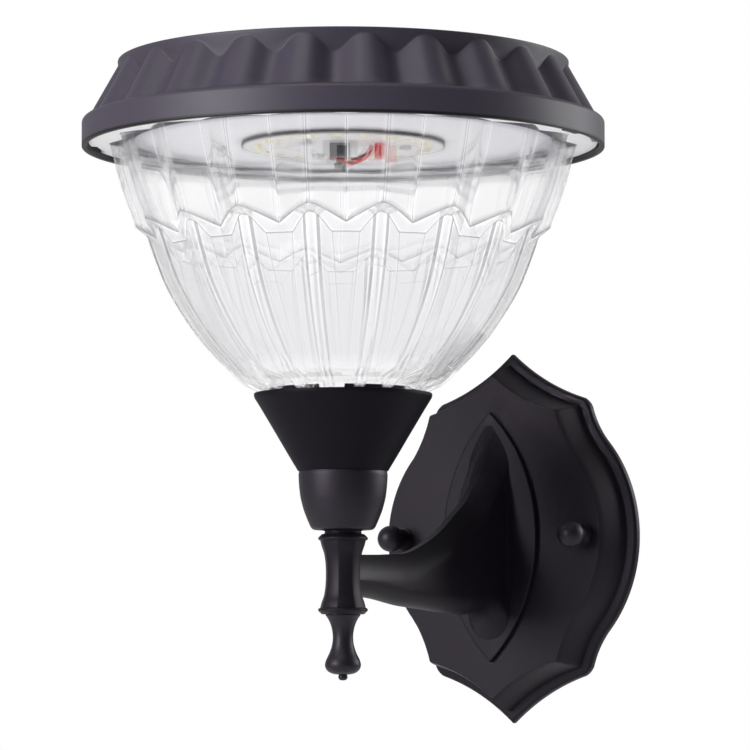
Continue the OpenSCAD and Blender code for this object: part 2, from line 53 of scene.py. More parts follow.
def towards(point, other, reach):
    # The place that lies reach away from a point, on the way to another
    way = other - point
    return point + way / np.hypot(*way) * reach


def softLine(points, steps=5):
    # A line of [a, b, soft]: each corner becomes a parabola that starts and ends its own soft length away,
    # at most a little under half of each side
    pts = np.array([p[:2] for p in points], float)
    soft = [p[2] if len(p) > 2 else 0.0 for p in points]
    out = [pts[:1]]
    for i in range(1, len(pts) - 1):
        before, corner, after = pts[i - 1:i + 2]
        reach = min(soft[i], 0.49 * np.hypot(*(before - corner)), 0.49 * np.hypot(*(after - corner)))
        if reach < 1e-6:
            out.append(pts[i:i + 1])
        else:
            out.append(parabola(towards(corner, before, reach), corner, towards(corner, after, reach), steps))
    out.append(pts[-1:])
    return np.concatenate(out)


def straightAt(x, knots):
    # Value at x of the straight stretches between [x, value] knots
    return np.interp(x, *np.array(knots, float).T)


def smoothAt(x, knots):
    # Value at x of the smooth curve through [x, value] knots: cubic steps whose slopes come from the
    # neighbours
    knots = np.array(knots, float)
    xs, ys = knots[:, 0], knots[:, 1]
    slope = np.gradient(ys, xs)
    i = np.clip(np.searchsorted(xs, x) - 1, 0, len(xs) - 2)
    h = xs[i + 1] - xs[i]
    t = np.clip((x - xs[i]) / h, 0, 1)
    return ((2 * t ** 3 - 3 * t ** 2 + 1) * ys[i] + (t ** 3 - 2 * t ** 2 + t) * h * slope[i]
            + (3 * t ** 2 - 2 * t ** 3) * ys[i + 1] + (t ** 3 - t ** 2) * h * slope[i + 1])


def ringAt(r, angle, z, centre=(0.0, lampY)):
    # Points at radius r and height z round an upright axis, by default the lamp's
    return np.stack(np.broadcast_arrays(centre[0] + r * np.cos(angle), centre[1] + r * np.sin(angle), z), -1)


def offWall(outline, y):
    # An outline of [x, z], carried y off the wall
    return np.stack([outline[:, 0], np.full(len(outline), -y), outline[:, 1]], -1)


def ringShell(rows, closeRows=False, startPole=None, endPole=None):
    # Skin over rows of points that each run once round: quads between neighbours, a fan to each pole
    rows = np.asarray(rows, float)
    rowCount, colCount = rows.shape[:2]
    verts = rows.reshape(-1, 3)
    first = np.arange(rowCount if closeRows else rowCount - 1)[:, None] * colCount
    second = (first + colCount) % (rowCount * colCount)
    col = np.arange(colCount)[None, :]
    right = (col + 1) % colCount
    quads = np.stack([first + col, first + right, second + right, second + col], -1).reshape(-1, 4)
    tris = np.zeros((0, 3), int)
    ring = np.arange(colCount)
    for pole, base, flip in ((startPole, 0, True), (endPole, (rowCount - 1) * colCount, False)):
        if pole is not None:
            tip = np.full(colCount, len(verts))
            verts = np.vstack([verts, [pole]])
            a, b = base + ring, base + (ring + 1) % colCount
            tris = np.vstack([tris, np.stack([b, a, tip] if flip else [a, b, tip], -1)])
    corners = verts[np.vstack([quads[:, [0, 1, 2]], quads[:, [0, 2, 3]], tris])]
    volume = np.einsum("ij,ij->i", corners[:, 0], np.cross(corners[:, 1], corners[:, 2])).sum()
    if volume < 0:  # faces point outwards
        quads, tris = quads[:, ::-1], tris[:, ::-1]
    return verts, quads.tolist() + tris.tolist()


def turned(line, columns=96, centre=(0.0, lampY), axis="z"):
    # A line of [radius, height] carried once round an axis; a radius of 0 at an end closes it in a pole
    line = np.asarray(line, float)
    angle = np.linspace(0, 2 * np.pi, columns, endpoint=False)

    def ring(r, h):
        points = ringAt(r, angle, h, centre)
        return points if axis == "z" else points[:, [0, 2, 1]] * [1, -1, 1]  # heights then run off the wall

    startPole = ring(0, line[0, 1])[0] if line[0, 0] < 1e-6 else None
    endPole = ring(0, line[-1, 1])[0] if line[-1, 0] < 1e-6 else None
    body = line[(0 if startPole is None else 1):(len(line) if endPole is None else -1)]
    closed = startPole is None and endPole is None
    return ringShell([ring(r, h) for r, h in body], closed, startPole, endPole)


def makePiece(name, shells, body, finish, stands=(), crease=32):
    # One object out of closed shells, smooth but for edges sharper than the crease angle
    verts, faces, start = [], [], 0
    for shellVerts, shellFaces in shells:
        verts.append(shellVerts)
        faces += [[v + start for v in face] for face in shellFaces]
        start += len(shellVerts)
    mesh = bpy.data.meshes.new(name)
    mesh.from_pydata((np.vstack(verts) * mm).tolist(), [], faces)
    mesh.shade_smooth()
    mesh.set_sharp_from_angle(angle=np.radians(crease))
    mesh.update()
    piece = bpy.data.objects.new(name, mesh)
    bpy.context.scene.collection.objects.link(piece)
    mesh.materials.append(finish)
    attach(piece, body)
    if stands:
        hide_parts(*stands)
    return piece


def dressNode(name, finish):
    nodes[name].data.materials.clear()
    nodes[name].data.materials.append(finish)


# Shader nodes that the finishes share

def feed(tree, node, inputs):
    # Each input gets its link or its value
    for socket, value in inputs.items():
        if isinstance(value, bpy.types.NodeSocket):
            tree.links.new(value, node.inputs[socket])
        else:
            node.inputs[socket].default_value = value
    return node


def mathNode(tree, operation, *values):
    node = tree.nodes.new("ShaderNodeMath")
    node.operation = operation
    return feed(tree, node, dict(enumerate(values))).outputs[0]


def vectorNode(tree, operation, *values):
    node = tree.nodes.new("ShaderNodeVectorMath")
    node.operation = operation
    return feed(tree, node, dict(enumerate(values))).outputs


def mixNode(tree, share, first, second, blend="MIX"):
    node = tree.nodes.new("ShaderNodeMix")
    node.data_type, node.blend_type = "RGBA", blend
    return feed(tree, node, {0: share, 6: first, 7: second}).outputs[2]


def rangeNode(tree, value, given, wanted, steps="LINEAR"):
    # A value carried from one range to another and held at its ends
    node = tree.nodes.new("ShaderNodeMapRange")
    node.interpolation_type = steps
    feed(tree, node, {"Value": value, "From Min": given[0], "From Max": given[1]})
    return feed(tree, node, {"To Min": wanted[0], "To Max": wanted[1]}).outputs["Result"]


def tintRamp(tree, length, span, stops):
    # Colour over a length in metres: the stops are in mm, and the ramp reaches from 0 to the span
    node = tree.nodes.new("ShaderNodeValToRGB")
    feed(tree, node, {0: mathNode(tree, "MULTIPLY", length, 1 / (span * mm))})
    elements = node.color_ramp.elements
    elements.remove(elements[1])
    for i, (place, color) in enumerate(stops):
        stop = elements[0] if i == 0 else elements.new(place / span)
        stop.position, stop.color = place / span, (*color, 1)
    return node.outputs[0]


def objectPlace(tree):
    return tree.nodes.new("ShaderNodeTexCoord").outputs["Object"]


def objectAxes(tree):
    return feed(tree, tree.nodes.new("ShaderNodeSeparateXYZ"), {"Vector": objectPlace(tree)}).outputs


def shaderOf(finish):
    return finish.node_tree.nodes["Principled BSDF"]


def multiplyBase(finish, tint):
    # The finish's own colour times a colour or a value that changes over the surface
    base = shaderOf(finish).inputs["Base Color"]
    tinted = mixNode(finish.node_tree, 1.0, base.links[0].from_socket, tint, "MULTIPLY")
    finish.node_tree.links.new(tinted, base)


# Finishes

skin = {"grainPerM": 2500, "cloudPerM": 25, "tone": 0.12, "roughSpread": 0.08, "bump": 0.00003}
ripple = {"grainPerM": 60, "cloudPerM": 12, "roughSpread": 0.4, "bump": 0.00012}


def speckleGroup():
    # Fine moulded or painted skin: a grain for the bump, and a slow cloud for colour and roughness
    group = bpy.data.node_groups.new("skinSpeckle", "ShaderNodeTree")
    textures = (("Grain", skin["grainPerM"], 2), ("Cloud", skin["cloudPerM"], 4))
    for label, perM, _ in textures:
        socket = group.interface.new_socket(label + " per m", in_out="INPUT", socket_type="NodeSocketFloat")
        socket.default_value = perM
        group.interface.new_socket(label, in_out="OUTPUT", socket_type="NodeSocketFloat")
    given = group.nodes.new("NodeGroupInput")
    result = group.nodes.new("NodeGroupOutput")
    place = objectPlace(group)
    for label, _, detail in textures:
        noise = feed(group, group.nodes.new("ShaderNodeTexNoise"),
                     {"Vector": place, "Scale": given.outputs[label + " per m"], "Detail": detail})
        group.links.new(noise.outputs["Fac"], result.inputs[label])
    return group


skinSpeckle = speckleGroup()


def speckledFinish(name, roughness, spread, grain, cloud, bump, sockets):
    # Principled finish whose roughness varies with the cloud, and whose bump follows the grain
    finish = bpy.data.materials.new(name)
    finish.use_nodes = True
    tree = finish.node_tree
    speckle = tree.nodes.new("ShaderNodeGroup")
    speckle.node_tree = skinSpeckle
    feed(tree, speckle, {"Grain per m": grain, "Cloud per m": cloud})
    cloudValue = speckle.outputs["Cloud"]
    rough = rangeNode(tree, cloudValue, (0, 1), (roughness - spread, roughness + spread))
    relief = feed(tree, tree.nodes.new("ShaderNodeBump"),
                  {"Distance": bump, "Strength": 1.0, "Height": speckle.outputs["Grain"]})
    feed(tree, shaderOf(finish), {"Roughness": rough, "Normal": relief.outputs["Normal"], **sockets})
    return finish, cloudValue


def newFinish(name, color, roughness, grain=skin["grainPerM"], tone=skin["tone"], sockets=None):
    # A solid finish, whose colour varies with the cloud too
    finish, cloudValue = speckledFinish(name, roughness, skin["roughSpread"], grain, skin["cloudPerM"],
                                        skin["bump"], sockets or {})
    darker = [c * (1 - tone) for c in color] + [1]
    paler = [min(1, c * (1 + tone)) for c in color] + [1]
    base = mixNode(finish.node_tree, cloudValue, darker, paler)
    feed(finish.node_tree, shaderOf(finish), {"Base Color": base})
    return finish


def clearFinish(name, roughness, sockets):
    # Clear moulded plastic: plain transmission, with a faint ripple as moulding leaves
    return speckledFinish(name, roughness, roughness * ripple["roughSpread"], ripple["grainPerM"],
                          ripple["cloudPerM"], ripple["bump"], {"Transmission Weight": 1.0, **sockets})[0]


def paintFinish(name, color, roughness, shine):
    # Black paint, whose faint reflection leans to violet
    return newFinish(name, color, roughness, grain=2200, tone=0.1,
                     sockets={"Specular IOR Level": shine, "Specular Tint": (0.96, 0.88, 1, 1)})


charcoalPlastic = newFinish("charcoalPlastic", (0.036, 0.030, 0.046), 0.5, grain=2200, tone=0.06,
                            sockets={"Specular IOR Level": 0.3})
blackPaint = paintFinish("blackPaint", (0.0068, 0.0052, 0.0086), 0.45, 0.27)
# Duller, darker copy of the black paint for the cone holder: the dull sheen is its finish, the darker colour
# is painted shade on its downward faces
shadedMattePaint = paintFinish("shadedMattePaint", (0.0045, 0.0035, 0.006), 0.5, 0.07)
platePaint = paintFinish("platePaint", (0.0065, 0.0052, 0.0082), 0.45, 0.15)
zincSteel = newFinish("zincSteel", (0.55, 0.55, 0.56), 0.35, tone=0.08, sockets={"Metallic": 1.0})
blackRubber = newFinish("blackRubber", (0.012, 0.012, 0.013), 0.7, sockets={"Specular IOR Level": 0.3})
paleRubber = newFinish("paleRubber", (0.72, 0.72, 0.7), 0.6, tone=0.04)
whitePlastic = newFinish("whitePlastic", (0.9, 0.89, 0.91), 0.4, tone=0.02)
ledYellow = newFinish("ledYellow", (0.86, 0.82, 0.6), 0.25, grain=4000, tone=0.1)
cellWrap = newFinish("cellWrap", (0.05, 0.2, 0.42), 0.25, tone=0.08)
blackPlastic = newFinish("blackPlastic", (0.02, 0.02, 0.022), 0.4)
greenBoard = newFinish("greenBoard", (0.02, 0.13, 0.05), 0.35, grain=900, tone=0.2)
redCable = newFinish("redCable", (0.55, 0.03, 0.03), 0.35, tone=0.1)
blackCable = newFinish("blackCable", (0.015, 0.015, 0.017), 0.35)
coverGlass = clearFinish("coverGlass", 0.04, {"Base Color": (0.97, 0.98, 0.98, 1), "IOR": 1.45})

# The lens's look, with the colours of the painted highlights and painted dark lines on its moulded edges
bowlLook = {"roughness": 0.012, "ior": 1.09, "clear": 0.35,
            "paintedGlint": (0.3, 0.3, 0.31), "line": (0.06, 0.055, 0.07),
            "coat": {"Coat Weight": 1.0, "Coat Roughness": 0.1, "Coat IOR": 1.6}, "span": 200,
            "tints": [[58.5, (0.99, 0.985, 0.995)], [64, (0.735, 0.73, 0.755)], [104, (0.735, 0.73, 0.755)],
                      [114, (0.92, 0.915, 0.93)]]}


def bowlFinish():
    # Painted light on the moulded edges: where the surface's edge value is above 0 the emission adds a
    # painted highlight, and where it is below it turns the tint to the colour of a painted dark line. The
    # alpha rises with both, and the tint follows the height
    c = bowlLook
    finish = clearFinish("clearPlasticPaintedEdges", c["roughness"],
                         {"IOR": c["ior"], "Emission Strength": 1.0, **c["coat"]})
    tree = finish.node_tree
    attribute = tree.nodes.new("ShaderNodeAttribute")
    attribute.attribute_name = "edge"
    edge = attribute.outputs["Fac"]
    tint = tintRamp(tree, objectAxes(tree)["Z"], c["span"], c["tints"])
    below = mathNode(tree, "MAXIMUM", mathNode(tree, "MULTIPLY", edge, -1), 0)
    alpha = mathNode(tree, "MULTIPLY_ADD", mathNode(tree, "ABSOLUTE", edge), 1 - c["clear"], c["clear"])
    feed(tree, shaderOf(finish), {"Emission Color": mixNode(tree, edge, (0, 0, 0, 1), (*c["paintedGlint"], 1)),
                                  "Base Color": mixNode(tree, below, tint, (*c["line"], 1)), "Alpha": alpha})
    return finish


def radialShadeFinish(name, roughness, stops):
    # Painted shade: the tint follows the distance from the lamp's axis
    finish = newFinish(name, (1, 1, 1), roughness, tone=0.02)
    tree = finish.node_tree
    away = vectorNode(tree, "SUBTRACT", objectPlace(tree), (0, lampY * mm, 0))["Vector"]
    flat = vectorNode(tree, "MULTIPLY", away, (1, 1, 0))["Vector"]
    multiplyBase(finish, tintRamp(tree, vectorNode(tree, "LENGTH", flat)["Value"], 100, stops))
    return finish


def solarFinish(lines):
    # Dark cells in strips across the disc, with bright bus lines and thin gaps: each line takes its share of
    # a pitch along one axis
    finish = newFinish("solarCells", (0.012, 0.02, 0.06), 0.25, grain=900, tone=0.3)
    tree = finish.node_tree
    axes = objectAxes(tree)
    base = shaderOf(finish).inputs["Base Color"]
    for axis, pitch, share, color in lines:
        part = mathNode(tree, "FRACT", mathNode(tree, "MULTIPLY", axes[axis], 1 / (pitch * mm)))
        mask = mathNode(tree, "LESS_THAN", part, share)
        tree.links.new(mixNode(tree, mask, base.links[0].from_socket, (*color, 1)), base)
    return finish


def shadeBelow(finish, low, high, depth):
    # Painted shade: darker under a height, where a moulded lower edge faces down and gets little light
    tree = finish.node_tree
    multiplyBase(finish, rangeNode(tree, objectAxes(tree)["Z"], (low * mm, high * mm), (depth, 1.0)))


# Clear plastic of the lens, with painted highlights and painted dark lines along its edges
clearPlasticPaintedEdges = bowlFinish()
# Dark rim of the LED board: partly its own dark edge, partly painted shade of the gap between board and dish
boardEdgeAndShade = radialShadeFinish("boardEdgeAndShade", 0.35, [[38.2, (0.88, 0.87, 0.87)], [38.7, (0.03, 0.03, 0.032)]])
# Painted shade on the under cover: greyer towards its rim, near black in the shaded band above the flange,
# and grey beyond
coverPaintedShade = radialShadeFinish("coverPaintedShade", 0.4, [[50, (0.97, 0.96, 0.98)], [72, (0.89, 0.88, 0.91)],
                                             [79.5, (0.5, 0.5, 0.56)], [80.2, (0.04, 0.04, 0.05)],
                                             [83, (0.04, 0.04, 0.05)], [84.5, (0.55, 0.54, 0.56)]])
solarCells = solarFinish((("X", 2.6, 0.06, (0.10, 0.12, 0.18)), ("Y", 25, 0.045, (0.55, 0.56, 0.58)),
                          ("X", 50, 0.02, (0.75, 0.76, 0.78))))
# Painted shade along the lower edge of the crown's rim
shadeBelow(charcoalPlastic, 146.1, 146.8, 0.05)
print("finishes made")

# Crown: one skin whose fluted cone and flared lip meet in a scalloped edge

crown = {"rimR": 100.0, "skirtZ": 145.4, "skirtWall": 2.0, "seatZ": 152.7, "seatWide": 7.5, "ledgeZ": 156.5,
         "ledgeIn": 2.6, "topZ": 178.7, "topR": 86.5, "topDrop": 1.3, "recessR": 77.0, "recessZ": 176.2,
         "wall": 2.2, "flutes": 24, "fluteDepth": 5.1, "crestAngle": -3.3, "crestWide": 1.35, "perFlute": 20,
         "lipR": 81.73, "lipSlope": 0.2206, "closeIn": 0.7808, "edgeRound": 0.35,
         "lugs": 2, "lugAngle": 7.1, "lugHalf": 3.2, "lugR": [95.8, 98.8], "lugZ": [145.6, 147.1],
         "bosses": 6, "bossPlace": 84.0, "bossR": [1.6, 3.5], "bossTop": 163.7}


def crownShell():
    # Radius and height against angle: crests and valleys follow a cosine, to a power that widens the crests,
    # and both cones run straight between
    c = crown
    count = c["flutes"] * c["perFlute"]
    step = np.arange(count)
    angle = np.radians(c["crestAngle"] + step * 360 / count)
    valley = ((1 - np.cos(2 * np.pi * step / c["perFlute"])) / 2) ** c["crestWide"]
    crestR = c["rimR"] - c["ledgeIn"]
    border = (crestR - c["lipR"] - c["fluteDepth"] * valley) / c["closeIn"]  # scalloped edge above the ledge
    edge = c["edgeRound"]
    rows = []

    def lipR(h):
        return c["lipR"] + c["lipSlope"] * h

    def fluteR(h):
        return crestR - (c["closeIn"] - c["lipSlope"]) * h - c["fluteDepth"] * valley

    def add(r, h):
        rows.append(ringAt(r, angle, c["ledgeZ"] + h))

    lipLow = c["topZ"] - c["topDrop"] - c["ledgeZ"]
    top = softLine([[c["recessR"], c["recessZ"]], [c["recessR"], c["topZ"], 0.4], [c["topR"], c["topZ"], 0.7],
                    [lipR(lipLow), c["topZ"] - c["topDrop"]]])
    rim = softLine([[crestR + 0.6, c["ledgeZ"]], [c["rimR"] - 0.5, c["ledgeZ"] - 0.7, 0.7],
                    [c["rimR"], c["ledgeZ"] - 1.5, 0.6], [c["rimR"], c["skirtZ"], 0.5],
                    [c["rimR"] - c["skirtWall"], c["skirtZ"], 0.5], [c["rimR"] - c["skirtWall"], c["seatZ"]],
                    [c["rimR"] - c["seatWide"], c["seatZ"]], [c["recessR"] + 1, c["recessZ"] - c["wall"]]])
    for r, z in top:
        add(r, z - c["ledgeZ"])
    for t in (0.5, 1.0):
        h = np.minimum(lipLow + (border + edge - lipLow) * t, lipLow)
        add(np.maximum(lipR(h), fluteR(h)), h)
    add(lipR(border) + 0.06, border)
    add(fluteR(border - edge), border - edge)
    for t in np.linspace(0.12, 1, 7):
        h = (border - edge) * (1 - t) + 0.5 * t
        add(fluteR(h), h)
    add(fluteR(0) + 0.35, 0.05)
    add(crestR + 0.4, 0)
    for r, z in rim:
        add(r, z - c["ledgeZ"])
    return ringShell(rows, False, [0, lampY, c["recessZ"]], [0, lampY, c["recessZ"] - c["wall"]])


def lugShell(middle):
    # A short bar bent round the lamp's axis: its four-sided section carried along the arc
    c = crown
    r = np.array(c["lugR"] + c["lugR"][::-1])
    z = np.repeat(c["lugZ"], 2)
    rows = [ringAt(r, a, z) for a in np.radians(np.linspace(middle - c["lugHalf"], middle + c["lugHalf"], 8))]
    return ringShell(rows, False, rows[0].mean(0), rows[-1].mean(0))


def bossShell(middle):
    # The tube that takes one of the tray's screws
    bore, outer = crown["bossR"]
    low, high = crown["seatZ"], crown["bossTop"]
    place = ringAt(crown["bossPlace"], np.radians(middle), 0)
    return turned([[bore, low], [outer, low], [outer, high], [bore, high]], 20, place[:2])


crownParts = [crownShell()]
crownParts += [lugShell(crown["lugAngle"] + i * 360 / crown["lugs"]) for i in range(crown["lugs"])]
crownParts += [bossShell(crown["crestAngle"] + i * 360 / crown["bosses"]) for i in range(crown["bosses"])]
makePiece("crownShell", crownParts, "head", charcoalPlastic, ["crown"], crease=40)
print("crown made")

# Lens: scalloped upper tier, sloping band, then flat panels between raised ribs. Its tables are [z, value],
# and the radii in "ridge" and "rib" are drawn for drawnR and stretched to fit between neck and flange. The
# columns run from a crease, or a panel's middle, at 0 to the ridge or rib beside it at 1

lens = {"pleats": 18, "turn": 7.1, "wall": 2.2, "flangeR": 97.0, "flangeTop": 149.3, "flangeLow": 147.4,
        "neckR": 30.0, "neckIn": 28.3, "footZ": 45.8, "baseZ": 53.9, "notchDepth": 2.2, "notchShare": 0.467,
        "drawnR": [34.6, 89.6], "neckGap": 5.0, "flangeGap": 7.4,
        "columns": [0, 0.018, 0.05, 0.13, 0.25, 0.36, 0.467, 0.55, 0.68, 0.82, 0.93, 0.975, 1.0],
        "pleatDepth": [[109, 8.0], [147.4, 6.1]],
        "ridgeRound": 0.12, "creaseRound": 0.012, "bluntRound": 0.03,
        "ridge": [[109.5, 77.6], [115.1, 79.6], [119.7, 81.3], [128.9, 84.3], [138.2, 87.0], [147.4, 89.3]],
        "fillet": [[0.4, 0.6, 0], [0.8, 0.2, 0.5], [1.4, 0.05, 1.2]], "tierTop": 145.2, "tierRows": 13,
        "borderZ": 115.3, "borderDrop": 6.1, "borderR": 79.4, "borderIn": 7.9, "panelTop": 105.8,
        "flankRise": 5.2, "ribRise": 1.8, "bandRead": 108.0,
        "rib": [[53, 34.6], [55.2, 38], [59.8, 42.9], [64.4, 47.6], [73.6, 55.7], [82.8, 62.1], [92, 67.4],
                [101.2, 71.2], [112.8, 75.3]],
        "sink": [[53, 0.35], [64, 0.9], [104, 1.7]], "panelHalf": [[58, 1.2], [80, 3.2], [106, 5.45]],
        "ribHalf": [[54, 2.4], [104, 3.2]], "ribTop": [[54, 1.4], [104, 1.9]], "ribStep": 0.8,
        "softEdge": [[54, 0.12], [80, 0.22]], "bluntStep": 0.3, "bluntEdge": 0.8,
        "bowlLow": 60.5, "bowlRows": 25,
        "domeRows": [60.2, 58.7, 57.4, 56.3, 55.4, 54.8, 54.4, 54.0],
        "dome": [[54.0, 34.4], [54.5, 35.9], [55.4, 37.5], [57, 39.6], [60.5, 42.6]],
        "lobeColumn": 9, "lobeZ": 57.0, "lobeDown": 0.7, "lobeRead": 53.6, "lobeBend": 53.9, "lobeIn": 1.8}

# Painted light on the lens's moulded edges, from the brightest painted highlight 1 to the darkest painted
# line -1: by column, then along the height
edges = {"fold": [-1, 1, 0.2, 0, 0, 0, 0, 0, 0, 0, 0.5, -0.55, 1],
         "rib": [0, 0, 0, -0.7, 0.9, 0, 0, 0, 1, -0.7, -0.7, 1, 0],
         "fillet": 0.5, "underFillet": 0.6, "border": -0.9,
         "band": [[0.07, 0.9], [0.3, 0], [0.7, 0], [0.93, 0.9]],
         "panelTop": -1, "ribFade": [[58, 0.45], [100, 1]], "lobe": 0.35}


def bowlColumns():
    # For each column of the bowl: its number, its side of the crease, its share of the half pleat, the
    # crease's turn about the lamp's axis, and whether it lies in a notch of the flange
    c = lens
    last = len(c["columns"]) - 1
    number = np.concatenate([-np.arange(last - 1, 0, -1), np.arange(last + 1)])
    pleat = np.repeat(np.arange(c["pleats"]), len(number))
    number = np.tile(number, c["pleats"])
    share = np.array(c["columns"])[np.abs(number)]
    inNotch = (share <= c["notchShare"]) & (pleat % (c["pleats"] // 2) == 1)
    return np.abs(number), np.sign(number), share, np.radians(c["turn"]) + 2 * halfPleat * pleat, inNotch


halfPleat = np.pi / lens["pleats"]
columnNo, columnSide, columnShare, creaseTurn, inNotch = bowlColumns()
ones = np.ones(len(columnNo))
# Painted edge light for each column: highlights above 0, dark lines below
foldPaintedLight, ribPaintedLight = np.array(edges["fold"])[columnNo], np.array(edges["rib"])[columnNo]
flangeR = np.where(inNotch, lens["flangeR"] - lens["notchDepth"], lens["flangeR"])


def stretched(table):
    # The drawn radii, fitted between the neck and the flange
    c = lens
    low, high = c["neckR"] + c["neckGap"], c["flangeR"] - c["flangeGap"]
    drawnLow, drawnHigh = c["drawnR"]
    return [[z, low + (r - drawnLow) * (high - low) / (drawnHigh - drawnLow)] for z, r in table]


def softRise(x, soft):
    # 0 below zero and x above it, with the bend rounded: (x + sqrt(x * x + soft * soft)) / 2
    return (x + np.sqrt(x * x + soft * soft)) / 2


def bowlRow(r, z, share=columnShare):
    # One row of points round the bowl, each at its share of the way from crease to ridge
    return ringAt(r, creaseTurn + columnSide * halfPleat * share, z)


def foldOf(smooth):
    # 1 in the crease and 0 on the ridge, straight between, with the ridge rounded and the crease eased
    crease, ridge = lens["bluntRound" if smooth else "creaseRound"], lens["ridgeRound"]
    away = 1 - np.sqrt(columnShare ** 2 + crease ** 2) + crease
    return (np.sqrt(away ** 2 + ridge ** 2) - ridge) / (np.hypot(1, ridge) - ridge)


def tierR(z, fold):
    # Radius of the upper tier: the ridge's line, less the pleat's depth times the fold
    return smoothAt(z, stretched(lens["ridge"])) - fold * straightAt(z, lens["pleatDepth"])


def tierRows(smooth):
    # Fillet under the flange, then the pleats down to their zigzag border
    c = lens
    fold = foldOf(smooth)
    low, top = c["flangeLow"], c["tierTop"]
    rows = [bowlRow(tierR(low - under, fold) + out, low - down) for under, out, down in c["fillet"]]
    values = [edges["fillet"] * ones, foldPaintedLight * edges["underFillet"], foldPaintedLight]
    borderZ, borderR = c["borderZ"] - c["borderDrop"] * fold, c["borderR"] - c["borderIn"] * fold
    for t in np.linspace(0, 1, c["tierRows"]):
        z = top + (borderZ - top) * t
        blend = t ** 8  # the tier bends to its border near the end
        rows.append(bowlRow(tierR(z, fold) * (1 - blend) + borderR * blend, z))
        values.append(foldPaintedLight if t < 1 else edges["border"] * ones)
    return rows, values


def panelSection(z, smooth):
    # Radius against the distance x from the panel's middle in mm: flat panel, sloping flank, steep side of
    # the rib, flat top. The columns keep to the corners of that shape
    c = lens
    rib = smoothAt(z, stretched(c["rib"]))
    width = halfPleat * rib
    soft, corner = straightAt(z, c["softEdge"]), straightAt(z, c["panelHalf"])
    base, top = width - straightAt(z, c["ribHalf"]), width - straightAt(z, c["ribTop"])
    places = [0 * z, corner * 0.45, corner - 2.2 * soft, corner - 0.7 * soft, corner + 0.7 * soft,
              corner + 2.2 * soft, (corner + base) / 2, base - 2.2 * soft, base - 0.7 * soft,
              base + 0.8 * soft, top - 0.8 * soft, top + 0.8 * soft, width]
    x = np.choose(columnNo, [np.broadcast_to(p, columnNo.shape) for p in places])
    panel = rib - straightAt(z, c["sink"])
    step = c["bluntStep"] if smooth else c["ribStep"]
    flank = (rib - step - panel) / (base - corner)
    if smooth:
        r = panel + flank * softRise(x - corner, c["bluntEdge"])
    else:
        r = panel + flank * (softRise(x - corner, soft) - softRise(x - base, soft))
        r = r + step / (top - base) * (softRise(x - base, soft) - softRise(x - top, soft))
    flat = np.where(x < corner, np.cos(corner / rib) / np.cos(np.minimum(x, corner) / rib), 1)
    return x / width, r * flat, (x, corner, base, width)


def panelRow(z, smooth):
    share, r, _ = panelSection(z, smooth)
    return bowlRow(r, z, share)


def panelRows(smooth, border):
    # Sloping band from the border to the panels' tops, which rise over flank and rib, then down the panels
    c = lens
    x, corner, base, width = panelSection(c["bandRead"] * ones, smooth)[2]
    onFlank = np.clip((x - corner) / (base - corner), 0, 1)
    onRib = np.clip((x - base) / (width - base), 0, 1)
    topZ = c["panelTop"] + c["flankRise"] * onFlank + c["ribRise"] * (1 - (1 - onRib) ** 2)
    top = panelRow(topZ, smooth)
    rows = [border * (1 - t) + top * t for t, _ in edges["band"]]
    values = [value * ones for _, value in edges["band"]]
    for t in np.concatenate([[0, 0.012], np.linspace(0.03, 1, c["bowlRows"])]):
        z = topZ + (c["bowlLow"] - topZ) * t
        rows.append(panelRow(z, smooth))
        values.append(ribPaintedLight * straightAt(z, edges["ribFade"]) if t > 0 else edges["panelTop"] * ones)
    return rows, values


def domeRows(smooth):
    # The bowl's floor, below which each rib ends in a lobe
    c = lens
    lobe = columnNo >= c["lobeColumn"]
    rows = []
    for z in c["domeRows"]:
        lobeZ = z - c["lobeDown"] * max(0, c["lobeZ"] - z)
        lobeR = smoothAt(max(lobeZ, c["lobeRead"]), stretched(c["rib"]))
        lobeR -= c["lobeIn"] * max(0, c["lobeBend"] - lobeZ)
        rows.append(bowlRow(np.where(lobe, lobeR, smoothAt(z, c["dome"])), np.where(lobe, lobeZ, z),
                            panelSection(z * ones, smooth)[0]))
    return rows, [ribPaintedLight * edges["lobe"]] * len(rows)


def wallRows(smooth):
    # The outer skin from under the flange to the lobes, with its painted edge light values. The smooth
    # version, which the inner skin follows, has no ribs and blunt folds
    tier, tierPaintedLight = tierRows(smooth)
    panels, panelPaintedLight = panelRows(smooth, tier[-1])
    dome, domePaintedLight = domeRows(smooth)
    return tier + panels + dome, tierPaintedLight + panelPaintedLight + domePaintedLight


def innerRows():
    # One wall inside the smooth version and square to it: every second row, between the fillet and the lobes
    grid = np.array(wallRows(True)[0])
    around = np.roll(grid, -1, axis=1) - np.roll(grid, 1, axis=1)
    normal = np.cross(np.gradient(grid, axis=0), around)
    normal /= np.linalg.norm(normal, axis=-1, keepdims=True)
    normal *= np.sign((normal[..., :2] * (grid[..., :2] - [0, lampY])).sum(-1, keepdims=True))
    return list((grid - normal * lens["wall"])[3:-4:2][::-1])


